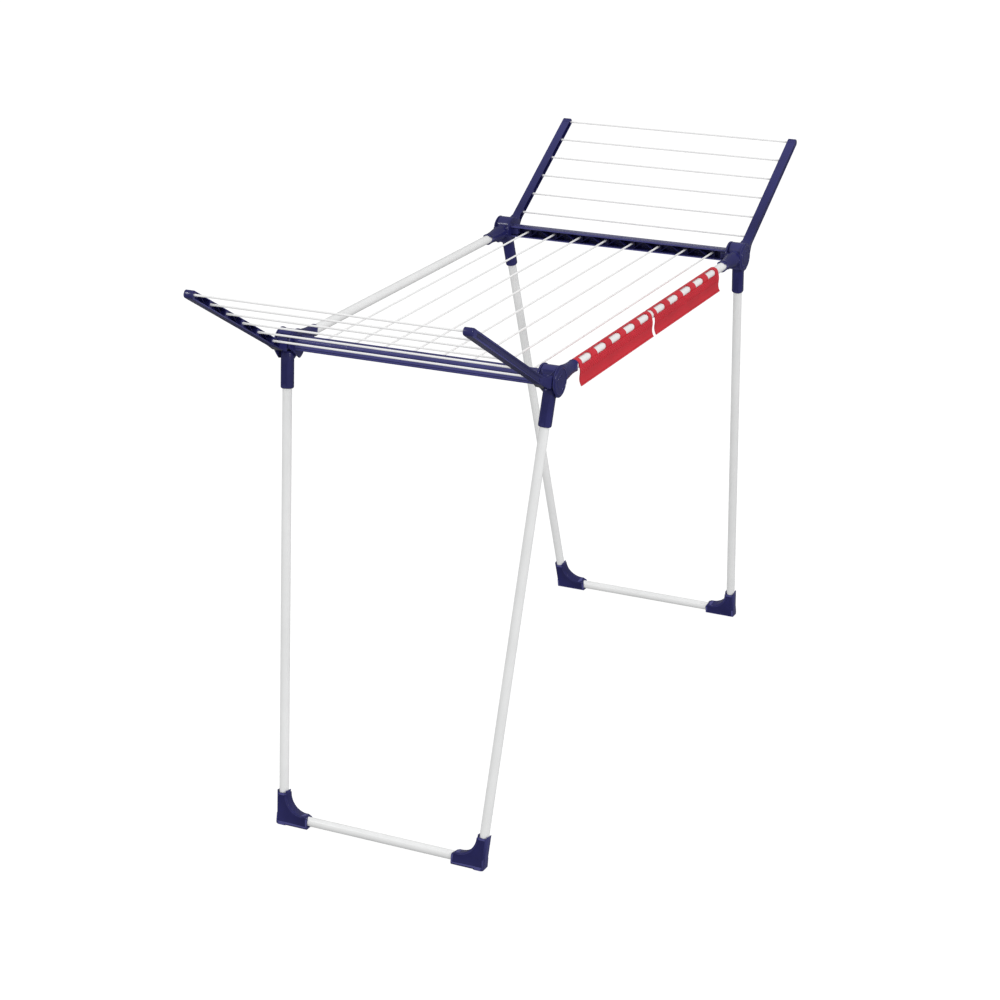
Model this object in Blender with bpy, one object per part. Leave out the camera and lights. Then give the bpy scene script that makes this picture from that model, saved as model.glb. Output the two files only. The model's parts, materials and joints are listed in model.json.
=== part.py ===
"""Winged clothes drying rack, about 1.8 m long with its wings raised.

Metres, +Z up, +X along the drying lines, origin on the floor under the middle.
Each end of the rack is built in its own end frame: +X points out of that end, and
the near end is the far end turned half round, so both ends share every mesh.
"""
from math import atan2, cos, hypot, pi, radians, sin

import bmesh
import bpy
from mathutils import Matrix

# Overall sizes
HUB_SPAN = 1.042            # between the corner hubs, along the lines
FRAME_WIDTH = 0.600         # between the side tubes' centre lines
LINE_HEIGHT = 1.006         # centre lines above the floor
FOOT_WIDTH = 0.469          # between the legs where they meet the cross tube
LEG_SPLAY = radians(11.4)   # legs lean outwards from the vertical
WING_RISE = radians(31.0)   # raised wings above the horizontal

# Steel tubes and cord lines
TUBE_RADIUS = 0.010
TUBE_WALL = 0.001
LINE_RADIUS = 0.00225
CENTRE_LINES = 8
LINE_MARGIN = 0.062         # outermost centre line inside the side tube's centre
WING_LINES = 6
WING_LINE_PITCH = 0.0659
FIRST_WING_LINE = 0.0748    # innermost wing line from the wing pin, along the arm

# Fits
GAP = 0.0003                # between pieces that are fixed to each other
FREE = 0.0005               # between pieces that turn on each other
LINE_GRIP = 0.006           # length of line inside its boss
CUT_OVER = 0.002            # how far a cutter runs past the face it cuts
WELD = 1e-7                 # only joins points that are the same point

BORE_RADIUS = TUBE_RADIUS + GAP
LINE_BORE = LINE_RADIUS + GAP

# Leg socket
SLEEVE_WIDTH = 2 * (BORE_RADIUS + 0.0032)
SLEEVE_DEPTH = 2 * (BORE_RADIUS + 0.0025)
SLEEVE_TOP = 0.003
SLEEVE_LENGTH = 0.077
SLEEVE_ROUND = 0.006
LEG_INSERT = 0.052          # leg tube inside its socket
LEG_HUB_RADIUS = 0.009
LEG_OFFSET = BORE_RADIUS + 0.0077   # leg's centre line outside the leg pin
EAR_INSET = 0.002           # ear's sides inside the sleeve's
EAR_FOOT = 0.022            # ear's lower end on the sleeve, below the pin

# Corner housing: two cheeks with a fork of pins, a bridge and a tube socket
CHEEK_RADIUS = 0.033
CHEEK_WALL = 0.0045
CHEEK_GAP = SLEEVE_WIDTH + 0.006
HUB_DROP = 0.002            # hub centre and side tubes below the lines
WING_PIN = (0.002, 0.010)   # from the hub centre: outwards, up
LEG_PIN = (-0.011, -0.020)
PIN_RADIUS = 0.0035
PIN_HEAD_RADIUS = 0.0055
PIN_HEAD = 0.0015
PIN_DOME = 0.0004           # chamfer round the pin's head
BRIDGE_INSET = 0.0215       # bridge's flat face inside the hub centre
BRIDGE_TOP = 0.021          # above the hub centre
BRIDGE_FOOT = 0.022         # below the hub centre
SOCKET_REACH = 0.106        # tube socket's mouth from the hub centre
SOCKET_ROOT_RADIUS = BORE_RADIUS + 0.0075
SOCKET_MOUTH_RADIUS = BORE_RADIUS + 0.0025
SOCKET_LIP = 0.018          # straight part of the socket at its mouth
SOCKET_END_WALL = 0.002     # socket's root behind the bore's blind end
SOCKET_BORE_END = 0.026     # bore's blind end from the hub centre
SPIGOT_LENGTH = 0.017
SPIGOT_INSET = 0.0022       # spigot inside the end bar's opening

# End bar: channel open towards the lines
BAR_WIDTH = 0.030
BAR_HEIGHT = 0.025
BAR_SHIFT = 0.002           # bar's middle inside the hub centre
BAR_WEB = 0.003
BAR_FLANGE = 0.0025
BAR_EDGE = 0.0025           # rounding of the bar's outer edges
BOSS_WIDTH = 2 * (LINE_BORE + 0.00295)
BAR_BOSS_DEPTH = LINE_GRIP + 0.0025

# Wing arm: channel open towards the lines, gooseneck and barrel on the wing pin
ARM_WIDTH = 0.020
ARM_HEIGHT = 0.017
ARM_DROP = 0.0242           # arm's middle below the wing pin
ARM_START = 0.0205
ARM_TIP = 0.0077            # beyond the outermost line
ARM_WEB = 0.0045
ARM_FLANGE = 0.0022
ARM_BOSS_DEPTH = 0.0145
ARM_NOSE = 0.006            # rounding of the arm's tip
POCKET_START = 0.048
BARREL_RADIUS = 0.022
NECK_WIDTH = CHEEK_GAP - 0.007
NECK_LIP = 0.0005           # neck's skin proud of the arm
NECK_BACK = 0.010           # neck's foot on the barrel, along the arm
NECK_HEEL = 0.0030          # neck's foot above the arm's underside
NECK_END = 0.072
NECK_TAPER = 0.012          # length of the neck's pointed end
NECK_CREST = 0.040
NECK_RISE = 0.004
NECK_ROOT = 0.004           # neck's upper root below the wing pin

# Foot
CROSS_HEIGHT = BORE_RADIUS + 0.0037     # cross tube's centre above the floor
FOOT_LEG_HEIGHT = 0.062     # foot's leg sleeve above the cross tube's centre
FOOT_REACH = 0.067          # foot's cross sleeve, inwards from the leg
FOOT_SLEEVE = 2 * (BORE_RADIUS + 0.003)
FOOT_ROUND = 0.005
FOOT_DEPTH = 0.020          # leg sleeve carried below the floor before it is cut level
FOOT_INSERT_GAP = BORE_RADIUS + 0.0062  # leg tube's end above the cross tube's centre
GUSSET_RADIUS = 0.026
GUSSET_WALL = 0.008
GUSSET_ROOT = 0.003         # gusset's edge inside the leg sleeve

# Clip-on holder
HOLDER_SPLIT = 0.016        # gap between the two holders
HOLDER_START = 0.003        # near holder's end past the socket's mouth
HOLDER_ROOM = 0.051         # bare tube past the far holder
HOLDER_WALL = 0.0022
HOLDER_DROP = 0.042         # skirt's edge below the tube's centre
HOLDER_FLARE = 0.0045       # skirt's edge outside its root
HOLDER_WAVE = 0.35          # swell of the skirt's S curve, as a share of the flare
HOLDER_WRAP = radians(215.0)
WINDOWS = 5
WINDOW_RIB = 0.026          # between neighbouring windows
WINDOW_NOSE = 0.009         # length of a window's round end
WINDOW_DEPTH = 0.008        # window's cutter past the wall, inwards and outwards
WINDOW_LOW = radians(0.0)
WINDOW_HIGH = radians(58.0)

# Derived places
HUB_X = HUB_SPAN / 2
SIDE_Y = FRAME_WIDTH / 2
HUB_Z = LINE_HEIGHT - HUB_DROP
INNER_CHEEK = SIDE_Y - CHEEK_GAP / 2 - CHEEK_WALL
OUTER_CHEEK = SIDE_Y + CHEEK_GAP / 2 + CHEEK_WALL
LINE_SPACING = (FRAME_WIDTH - 2 * LINE_MARGIN) / (CENTRE_LINES - 1)
LAST_WING_LINE = FIRST_WING_LINE + (WING_LINES - 1) * WING_LINE_PITCH
BAR_X = HUB_X - BAR_SHIFT
ARM_OPEN = SIDE_Y - ARM_WIDTH / 2
LEG_PIN_Z = HUB_Z + LEG_PIN[1]
FOOT_Z = (CROSS_HEIGHT - LEG_PIN_Z - LEG_OFFSET * sin(LEG_SPLAY)) / cos(LEG_SPLAY)
LEG_TAPER = atan2(SIDE_Y - FOOT_WIDTH / 2, -FOOT_Z)
HOLDER_LENGTH = (HUB_SPAN - 2 * SOCKET_REACH - HOLDER_START - HOLDER_SPLIT - HOLDER_ROOM) / 2
WINDOW_PITCH = HOLDER_LENGTH / WINDOWS

# Finishes: colour, roughness, metallic
NAVY = ((0.030, 0.030, 0.115), 0.34, 0.0)
WHITE_PAINT = ((0.86, 0.87, 0.88), 0.30, 0.0)
WHITE_LINE = ((0.88, 0.88, 0.88), 0.55, 0.0)
RED = ((0.62, 0.012, 0.020), 0.36, 0.0)

ROUND = 32                  # segments of hubs and barrels
TUBE_ROUND = 16
BORE_ROUND = 16
PIN_ROUND = 12
LINE_ROUND = 8
SKIRT_STEPS = 8
Y_AXIS = Matrix.Rotation(-pi / 2, 4, "X")   # turns local Z to +Y
X_AXIS = Matrix.Rotation(pi / 2, 4, "Y")    # turns local Z to +X
LAY_X = Matrix(((0, 0, 1, 0), (1, 0, 0, 0), (0, 1, 0, 0), (0, 0, 0, 1)))     # local X, Y, Z to Y, Z, X


def clear_scene():
    for thing in list(bpy.data.objects):
        bpy.data.objects.remove(thing, do_unlink=True)


def shape(bm, matrix=Matrix()):
    """Turn a bmesh into a loose object for building with."""
    bm.transform(matrix)
    bmesh.ops.recalc_face_normals(bm, faces=bm.faces)
    mesh = bpy.data.meshes.new("shape")
    bm.to_mesh(mesh)
    bm.free()
    thing = bpy.data.objects.new("shape", mesh)
    bpy.context.scene.collection.objects.link(thing)
    return thing


def prism(outline, low, high, matrix=Matrix()):
    """Solid with an XY outline, from z low to z high."""
    bm = bmesh.new()
    bottom = [bm.verts.new((x, y, low)) for x, y in outline]
    top = [bm.verts.new((x, y, high)) for x, y in outline]
    bm.faces.new(bottom[::-1])
    bm.faces.new(top)
    count = len(outline)
    for i in range(count):
        j = (i + 1) % count
        bm.faces.new((bottom[i], bottom[j], top[j], top[i]))
    return shape(bm, matrix)


def box(low, high):
    outline = [(low[0], low[1]), (high[0], low[1]), (high[0], high[1]), (low[0], high[1])]
    return prism(outline, low[2], high[2])


def arc(centre, radius, start, end, steps):
    return [(centre[0] + radius * cos(start + (end - start) * i / steps),
             centre[1] + radius * sin(start + (end - start) * i / steps))
            for i in range(steps + 1)]


def circle(radius, segments):
    return arc((0.0, 0.0), radius, 0.0, 2 * pi * (segments - 1) / segments, segments - 1)


def rounded_rectangle(width, depth, radius, steps=3):
    """Outline centred on the origin, counter-clockwise."""
    points = []
    for quarter, (sx, sy) in enumerate(((1, 1), (-1, 1), (-1, -1), (1, -1))):
        centre = (sx * (width / 2 - radius), sy * (depth / 2 - radius))
        points += arc(centre, radius, quarter * pi / 2, (quarter + 1) * pi / 2, steps)
    return points


def rod(radius, low, high, matrix=Matrix(), segments=ROUND):
    return prism(circle(radius, segments), low, high, matrix)


def turned(profile, matrix=Matrix(), segments=ROUND):
    """Solid of revolution about local Z from (radius, z) points on both ends' axis."""
    bm = bmesh.new()
    rings = []
    for radius, z in profile:
        rings.append([bm.verts.new((x, y, z)) for x, y in circle(radius, segments)])
    bm.faces.new(rings[0][::-1])
    bm.faces.new(rings[-1])
    for lower, upper in zip(rings, rings[1:]):
        for i in range(segments):
            j = (i + 1) % segments
            bm.faces.new((lower[i], lower[j], upper[j], upper[i]))
    return shape(bm, matrix)


def along_y(x, z):
    """Matrix that lays a local Z solid along +Y through (x, z)."""
    return Matrix.Translation((x, 0.0, z)) @ Y_AXIS


def side_prism(outline, low, high):
    """Solid with an XZ outline, from y low to y high."""
    return prism([(x, -z) for x, z in outline], low, high, Y_AXIS)


def apply(base, operation, tool):
    """Boolean of two building objects; the tool is used up."""
    modifier = base.modifiers.new("Boolean", "BOOLEAN")
    modifier.operation = operation
    modifier.solver = "EXACT"
    modifier.object = tool
    graph = bpy.context.evaluated_depsgraph_get()
    result = bpy.data.meshes.new_from_object(base.evaluated_get(graph))
    base.modifiers.clear()
    old = base.data
    base.data = result
    bpy.data.meshes.remove(old)
    bpy.data.objects.remove(tool, do_unlink=True)
    return base


def add(base, *tools):
    for tool in tools:
        apply(base, "UNION", tool)
    return base


def cut(base, *tools):
    for tool in tools:
        apply(base, "DIFFERENCE", tool)
    return base


def mesh_of(thing, name, mirror=False):
    """Take a building object's mesh, mirrored in Y for the other side if asked."""
    bm = bmesh.new()
    bm.from_mesh(thing.data)
    bmesh.ops.remove_doubles(bm, verts=bm.verts, dist=WELD)
    if mirror:
        bm.transform(Matrix.Diagonal((1.0, -1.0, 1.0, 1.0)))
        bmesh.ops.reverse_faces(bm, faces=bm.faces)
    mesh = bpy.data.meshes.new(name)
    bm.to_mesh(mesh)
    bm.free()
    mesh.shade_smooth()
    mesh.set_sharp_from_angle(angle=radians(32.0))
    return mesh


def pair_of(thing, name):
    """Meshes for the +Y side and the -Y side, by side sign."""
    meshes = {1: mesh_of(thing, name), -1: mesh_of(thing, name + "_mirrored", mirror=True)}
    bpy.data.objects.remove(thing, do_unlink=True)
    return meshes


def single(thing, name):
    mesh = mesh_of(thing, name)
    bpy.data.objects.remove(thing, do_unlink=True)
    return mesh


def finish(name, look):
    colour, roughness, metallic = look
    material = bpy.data.materials.new(name + "_finish")
    material.use_nodes = True
    shader = material.node_tree.nodes["Principled BSDF"]
    shader.inputs["Base Color"].default_value = (*colour, 1.0)
    shader.inputs["Roughness"].default_value = roughness
    shader.inputs["Metallic"].default_value = metallic
    return material


def piece(name, mesh, look, parent=None, location=(0, 0, 0), rotation=(0, 0, 0)):
    thing = bpy.data.objects.new(name, mesh)
    bpy.context.scene.collection.objects.link(thing)
    thing.parent = parent
    thing.location = location
    thing.rotation_euler = rotation
    if not mesh.materials:
        mesh.materials.append(None)
    thing.material_slots[0].link = "OBJECT"
    thing.material_slots[0].material = finish(name, look)
    return thing


def axis_empty(name, parent, location, rotation=(0, 0, 0)):
    empty = bpy.data.objects.new(name, None)
    bpy.context.scene.collection.objects.link(empty)
    empty.parent = parent
    empty.location = location
    empty.rotation_euler = rotation
    return empty


def tube_mesh(name, length):
    """Hollow tube along local Z, centred on its middle."""
    tube = rod(TUBE_RADIUS, -length / 2, length / 2, segments=TUBE_ROUND)
    bore = rod(TUBE_RADIUS - TUBE_WALL, -length, length, segments=TUBE_ROUND)
    return single(cut(tube, bore), name)


def line_mesh(name, length):
    return single(rod(LINE_RADIUS, -length / 2, length / 2, segments=LINE_ROUND), name)


def corner_meshes():
    """Housing about the hub centre, for the +Y side: x outwards, y across, z up."""
    inner = INNER_CHEEK - SIDE_Y
    outer = OUTER_CHEEK - SIDE_Y
    gap = CHEEK_GAP / 2
    housing = rod(CHEEK_RADIUS, inner, outer, Y_AXIS)
    clear = CHEEK_RADIUS + CUT_OVER
    fork = [(-BRIDGE_INSET, -BRIDGE_FOOT), (-clear, -BRIDGE_FOOT), (-clear, -clear), (clear, -clear)]
    fork += [(clear, clear), (-clear, clear), (-clear, BRIDGE_TOP), (-BRIDGE_INSET, BRIDGE_TOP)]
    cut(housing, side_prism(fork, -gap, gap))
    socket = turned([(SOCKET_ROOT_RADIUS, -SOCKET_BORE_END + SOCKET_END_WALL),
                     (SOCKET_ROOT_RADIUS, -CHEEK_RADIUS),
                     (SOCKET_MOUTH_RADIUS, -SOCKET_REACH + SOCKET_LIP),
                     (SOCKET_MOUTH_RADIUS, -SOCKET_REACH)], X_AXIS)
    add(housing, socket)
    inside = SPIGOT_INSET + BAR_FLANGE
    spigot_inner = -BAR_SHIFT - BAR_WIDTH / 2 + inside
    spigot_outer = -BAR_SHIFT + BAR_WIDTH / 2 - BAR_WEB - GAP
    spigot_half = BAR_HEIGHT / 2 - inside
    spigot = box((spigot_inner, inner - SPIGOT_LENGTH, HUB_DROP - spigot_half),
                 (spigot_outer, inner + CHEEK_WALL / 2, HUB_DROP + spigot_half))
    add(housing, spigot)
    cut(housing, rod(BORE_RADIUS, -SOCKET_REACH - CUT_OVER, -SOCKET_BORE_END, X_AXIS, BORE_ROUND))
    for x, z in (WING_PIN, LEG_PIN):
        cut(housing, rod(PIN_RADIUS + GAP, inner - CUT_OVER, outer + CUT_OVER, along_y(x, z), PIN_ROUND))
    return pair_of(housing, "corner")


def pin_meshes():
    """Shouldered pin about its own axis, head on the outer side."""
    inner = INNER_CHEEK - SIDE_Y
    outer = OUTER_CHEEK - SIDE_Y + GAP
    pin = turned([(PIN_RADIUS, inner), (PIN_RADIUS, outer),
                  (PIN_HEAD_RADIUS, outer), (PIN_HEAD_RADIUS, outer + PIN_HEAD - PIN_DOME),
                  (PIN_HEAD_RADIUS - PIN_DOME, outer + PIN_HEAD)], Y_AXIS, PIN_ROUND)
    return pair_of(pin, "pin")


def end_bar_mesh():
    """Channel in the end frame about (BAR_X, 0, LINE_HEIGHT), open to -X."""
    half = INNER_CHEEK - GAP
    out = BAR_WIDTH / 2
    up = BAR_HEIGHT / 2
    outline = [(-out, -up)] + arc((out - BAR_EDGE, -up + BAR_EDGE), BAR_EDGE, -pi / 2, 0, 4)
    outline += arc((out - BAR_EDGE, up - BAR_EDGE), BAR_EDGE, 0, pi / 2, 4) + [(-out, up)]
    bar = side_prism(outline, -half, half)
    places = [(i - (CENTRE_LINES - 1) / 2) * LINE_SPACING for i in range(CENTRE_LINES)]
    web = out - BAR_WEB
    inside = up - BAR_FLANGE
    cut(bar, box((-out - CUT_OVER, -half - CUT_OVER, -inside),
                 (web - BAR_BOSS_DEPTH, half + CUT_OVER, inside)))
    edges = [-half - CUT_OVER]
    for y in places:
        edges += [y - BOSS_WIDTH / 2, y + BOSS_WIDTH / 2]
    edges.append(half + CUT_OVER)
    for low, high in zip(edges[::2], edges[1::2]):
        cut(bar, box((web - BAR_BOSS_DEPTH - CUT_OVER, low, -inside), (web, high, inside)))
    for y in places:
        hole = rod(LINE_BORE, web - BAR_BOSS_DEPTH - CUT_OVER, web - BAR_BOSS_DEPTH + LINE_GRIP + GAP,
                   Matrix.Translation((0, y, 0)) @ X_AXIS, LINE_ROUND)
        cut(bar, hole)
    return single(bar, "end_bar")


def arm_meshes():
    """Arm in the wing frame: origin on the wing pin, x along the arm, for the +Y side."""
    tip = LAST_WING_LINE + ARM_TIP
    low = -ARM_DROP - ARM_HEIGHT / 2
    high = -ARM_DROP + ARM_HEIGHT / 2
    outline = [(ARM_START, low)]
    outline += arc((tip - ARM_NOSE, low + ARM_NOSE), ARM_NOSE, -pi / 2, 0, 5)
    outline += arc((tip - ARM_NOSE, high - ARM_NOSE), ARM_NOSE, 0, pi / 2, 5)
    outline.append((ARM_START, high))
    arm = side_prism(outline, ARM_OPEN, SIDE_Y + ARM_WIDTH / 2)
    lip = low + NECK_LIP
    heel = -BARREL_RADIUS + NECK_HEEL
    neck = [(NECK_BACK, heel), (ARM_START, heel - NECK_HEEL + NECK_LIP), (ARM_START + NECK_LIP, lip)]
    neck += [(NECK_END - NECK_TAPER, lip), (NECK_END, -ARM_DROP), (NECK_CREST, high + NECK_LIP)]
    neck += [(NECK_CREST - NECK_BACK, high + NECK_RISE), (ARM_START, -NECK_ROOT), (0.0, -NECK_ROOT)]
    add(arm, side_prism(neck, SIDE_Y - NECK_WIDTH / 2, SIDE_Y + NECK_WIDTH / 2))
    barrel_half = CHEEK_GAP / 2 - FREE
    add(arm, rod(BARREL_RADIUS, SIDE_Y - barrel_half, SIDE_Y + barrel_half, Y_AXIS))
    cut(arm, rod(PIN_RADIUS + GAP, SIDE_Y - CHEEK_GAP, SIDE_Y + CHEEK_GAP, Y_AXIS, PIN_ROUND))
    places = [FIRST_WING_LINE + i * WING_LINE_PITCH for i in range(WING_LINES)]
    starts = [POCKET_START] + [x + BOSS_WIDTH / 2 for x in places[:-1]]
    web = SIDE_Y + ARM_WIDTH / 2 - ARM_WEB
    mouth = ARM_OPEN - NECK_WIDTH
    for start, x in zip(starts, places):
        cut(arm, box((start, mouth, low + ARM_FLANGE), (x - BOSS_WIDTH / 2, web, high - ARM_FLANGE)))
    for x in places:
        hole = rod(LINE_BORE, mouth, ARM_OPEN + ARM_BOSS_DEPTH + GAP, along_y(x, -ARM_DROP), LINE_ROUND)
        cut(arm, hole)
    return pair_of(arm, "wing_arm")


def leg_socket_meshes():
    """Socket in the leg frame: origin on the leg pin, -z down the leg, for the +Y side."""
    lean = Matrix.Translation((LEG_OFFSET, SIDE_Y, 0)) @ Matrix.Rotation(-LEG_TAPER, 4, "X")
    outline = rounded_rectangle(SLEEVE_DEPTH, SLEEVE_WIDTH, SLEEVE_ROUND)
    socket = prism(outline, -SLEEVE_LENGTH, SLEEVE_TOP, lean)
    hub_half = CHEEK_GAP / 2 - FREE
    add(socket, rod(LEG_HUB_RADIUS, SIDE_Y - hub_half, SIDE_Y + hub_half, Y_AXIS, TUBE_ROUND))
    ear = [(0.0, -LEG_HUB_RADIUS), (LEG_OFFSET, -EAR_FOOT), (LEG_OFFSET, SLEEVE_TOP), (0.0, LEG_HUB_RADIUS)]
    ear_half = SLEEVE_WIDTH / 2 - EAR_INSET
    add(socket, side_prism(ear, SIDE_Y - ear_half, SIDE_Y + ear_half))
    bore_end = LEG_INSERT - SLEEVE_LENGTH + GAP
    cut(socket, rod(BORE_RADIUS, -SLEEVE_LENGTH - CUT_OVER, bore_end, lean, BORE_ROUND))
    cut(socket, rod(PIN_RADIUS + GAP, SIDE_Y - CHEEK_GAP, SIDE_Y + CHEEK_GAP, Y_AXIS, PIN_ROUND))
    return pair_of(socket, "leg_socket")


def foot_meshes():
    """Foot about the point where leg and cross tube meet, level with the floor, +Y side."""
    lean = Matrix.Rotation(-LEG_SPLAY, 4, "Y") @ Matrix.Rotation(-LEG_TAPER, 4, "X")
    sleeve = rounded_rectangle(FOOT_SLEEVE, FOOT_SLEEVE, FOOT_ROUND)
    foot = prism(sleeve, -CROSS_HEIGHT - FOOT_DEPTH, FOOT_LEG_HEIGHT, lean)
    half = FOOT_SLEEVE / 2
    cross = rounded_rectangle(FOOT_SLEEVE, 2 * CROSS_HEIGHT, FOOT_ROUND)
    add(foot, prism(cross, -FOOT_REACH, half - EAR_INSET / 2, Y_AXIS))
    inside = -half + GUSSET_ROOT
    gusset_top = CROSS_HEIGHT + GUSSET_RADIUS
    gusset = [(inside, 0.0), (inside, gusset_top)]
    gusset += arc((-half - GUSSET_RADIUS, gusset_top), GUSSET_RADIUS, 0, -pi / 2, 8)
    gusset.append((-half - GUSSET_RADIUS, 0.0))
    plane = Matrix.Rotation(-LEG_SPLAY, 4, "Y") @ LAY_X
    add(foot, prism(gusset, -GUSSET_WALL / 2, GUSSET_WALL / 2, plane))
    beyond = FOOT_REACH + FOOT_SLEEVE
    cut(foot, box((-beyond, -beyond, -CROSS_HEIGHT - beyond), (beyond, beyond, -CROSS_HEIGHT)))
    cut(foot, rod(BORE_RADIUS, FOOT_INSERT_GAP - GAP, FOOT_LEG_HEIGHT + CUT_OVER, lean, BORE_ROUND))
    cut(foot, rod(BORE_RADIUS, -FOOT_REACH - CUT_OVER, GAP, Y_AXIS, BORE_ROUND))
    return pair_of(foot, "foot")


def holder_profile():
    """C round the tube and skirt down its outer side: (outwards, up) from the tube's centre."""
    inner = TUBE_RADIUS + FREE
    outer = inner + HOLDER_WALL
    skirt = []
    for i in range(1, SKIRT_STEPS + 1):
        t = i / SKIRT_STEPS
        skirt.append((HOLDER_FLARE * (HOLDER_WAVE * sin(2 * pi * t) + t * t), -HOLDER_DROP * t))
    outline = [(outer + dx, z) for dx, z in skirt[::-1]]
    outline += arc((0, 0), outer, 0, HOLDER_WRAP, 12)
    outline += arc((0, 0), inner, HOLDER_WRAP, 0, 12)
    outline += [(inner + dx, z) for dx, z in skirt]
    return outline


def holder_mesh():
    """Holder along local X about the tube's centre; the skirt hangs on the -Y side."""
    outline = [(-y, z) for y, z in holder_profile()]
    holder = prism(outline, -HOLDER_LENGTH / 2, HOLDER_LENGTH / 2, LAY_X)
    reach = TUBE_RADIUS + FREE + HOLDER_WALL + WINDOW_DEPTH
    deep = TUBE_RADIUS - WINDOW_DEPTH
    bottom = reach * sin(WINDOW_LOW)
    top = reach * sin(WINDOW_HIGH)
    middle = (bottom + top) / 2
    tall = (top - bottom) / 2
    for i in range(WINDOWS):
        start = -HOLDER_LENGTH / 2 + WINDOW_PITCH * i + WINDOW_RIB / 2
        end = start + WINDOW_PITCH - WINDOW_RIB
        nose = [(end - WINDOW_NOSE + WINDOW_NOSE * cos(a), middle + tall * sin(a))
                for a in (pi * k / 6 - pi / 2 for k in range(7))]
        window = side_prism([(start, bottom)] + nose + [(start, top)], -reach - WINDOW_DEPTH, -deep)
        cut(holder, window)
    return single(holder, "holder")


def side_label(end, side):
    """The near end is turned half round, so its +Y side is the rack's right side."""
    return "left" if (side > 0) == (end == "far") else "right"


def build_end(end, turn, parts):
    frame = axis_empty(end + "_end", None, (0, 0, 0), (0, 0, turn))
    piece(end + "_end_bar", parts["bar"], NAVY, frame, (BAR_X, 0, LINE_HEIGHT))
    wing_pin = (HUB_X + WING_PIN[0], 0, HUB_Z + WING_PIN[1])
    leg_pin = (HUB_X + LEG_PIN[0], 0, LEG_PIN_Z)
    wing = axis_empty(end + "_wing_axis", frame, wing_pin, (0, -WING_RISE, 0))
    legs = axis_empty(end + "_legs_axis", frame, leg_pin, (0, -LEG_SPLAY, 0))
    for side in (1, -1):
        label = end + "_" + side_label(end, side)
        piece(label + "_corner", parts["corner"][side], NAVY, frame, (HUB_X, side * SIDE_Y, HUB_Z))
        for kind, place in (("wing", wing_pin), ("leg", leg_pin)):
            spot = (place[0], side * SIDE_Y, place[2])
            piece(label + "_" + kind + "_pin", parts["pin"][side], NAVY, frame, spot)
        piece(label + "_wing_arm", parts["arm"][side], NAVY, wing)
        piece(label + "_leg_socket", parts["leg_socket"][side], NAVY, legs)
        build_leg(label, side, legs, parts)
    for i in range(WING_LINES):
        x = FIRST_WING_LINE + i * WING_LINE_PITCH
        piece(end + "_wing_line_" + str(i + 1), parts["wing_line"], WHITE_LINE, wing,
              (x, 0, -ARM_DROP), (pi / 2, 0, 0))
    piece(end + "_cross_tube", parts["cross_tube"], WHITE_PAINT, legs,
          (LEG_OFFSET, 0, FOOT_Z), (pi / 2, 0, 0))


def leg_span():
    """Leg tube's two ends, as distances down the leg's centre line from the pin's height."""
    whole = hypot(FOOT_Z, SIDE_Y - FOOT_WIDTH / 2)
    return SLEEVE_LENGTH - LEG_INSERT, whole - FOOT_INSERT_GAP


def build_leg(label, side, legs, parts):
    top, bottom = leg_span()
    middle = (top + bottom) / 2
    centre = (LEG_OFFSET, side * (SIDE_Y - middle * sin(LEG_TAPER)), -middle * cos(LEG_TAPER))
    piece(label + "_leg_tube", parts["leg_tube"], WHITE_PAINT, legs, centre, (-side * LEG_TAPER, 0, 0))
    piece(label + "_foot", parts["foot"][side], NAVY, legs,
          (LEG_OFFSET, side * FOOT_WIDTH / 2, FOOT_Z), (0, LEG_SPLAY, 0))


def build_rack():
    clear_scene()
    leg_top, leg_bottom = leg_span()
    bar_web = BAR_X + BAR_WIDTH / 2 - BAR_WEB
    centre_line_end = bar_web - BAR_BOSS_DEPTH + LINE_GRIP
    wing_line_end = ARM_OPEN + ARM_BOSS_DEPTH
    side_tube_end = HUB_X - SOCKET_BORE_END - GAP
    parts = {
        "bar": end_bar_mesh(),
        "corner": corner_meshes(),
        "pin": pin_meshes(),
        "arm": arm_meshes(),
        "leg_socket": leg_socket_meshes(),
        "foot": foot_meshes(),
        "wing_line": line_mesh("wing_line", 2 * wing_line_end),
        "leg_tube": tube_mesh("leg_tube", leg_bottom - leg_top),
        "cross_tube": tube_mesh("cross_tube", FOOT_WIDTH),
    }
    build_end("far", 0.0, parts)
    build_end("near", pi, parts)
    side_tube = tube_mesh("side_tube", 2 * side_tube_end)
    for side, label in ((1, "left"), (-1, "right")):
        piece(label + "_side_tube", side_tube, WHITE_PAINT, None, (0, side * SIDE_Y, HUB_Z), (0, pi / 2, 0))
    centre_line = line_mesh("centre_line", 2 * centre_line_end)
    for i in range(CENTRE_LINES):
        y = ((CENTRE_LINES - 1) / 2 - i) * LINE_SPACING
        piece("centre_line_" + str(i + 1), centre_line, WHITE_LINE, None, (0, y, LINE_HEIGHT), (0, pi / 2, 0))
    holder = holder_mesh()
    start = -HUB_X + SOCKET_REACH + HOLDER_START + HOLDER_LENGTH / 2
    for i, label in enumerate(("near", "far")):
        x = start + i * (HOLDER_LENGTH + HOLDER_SPLIT)
        axis = axis_empty(label + "_holder_axis", None, (x, -SIDE_Y, HUB_Z))
        piece(label + "_holder", holder, RED, axis)


build_rack()
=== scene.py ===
"""Visual model of a winged clothes drying rack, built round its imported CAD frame.

Metres, +Z up, +X along the drying lines. Every moulding is made once for the far end's
left side, then mirrored across the rack and turned half round for the near end.
"""

import json
from math import asin, cos, hypot, pi, radians, sin

import bmesh
import bpy
from mathutils import Matrix, Vector


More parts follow.
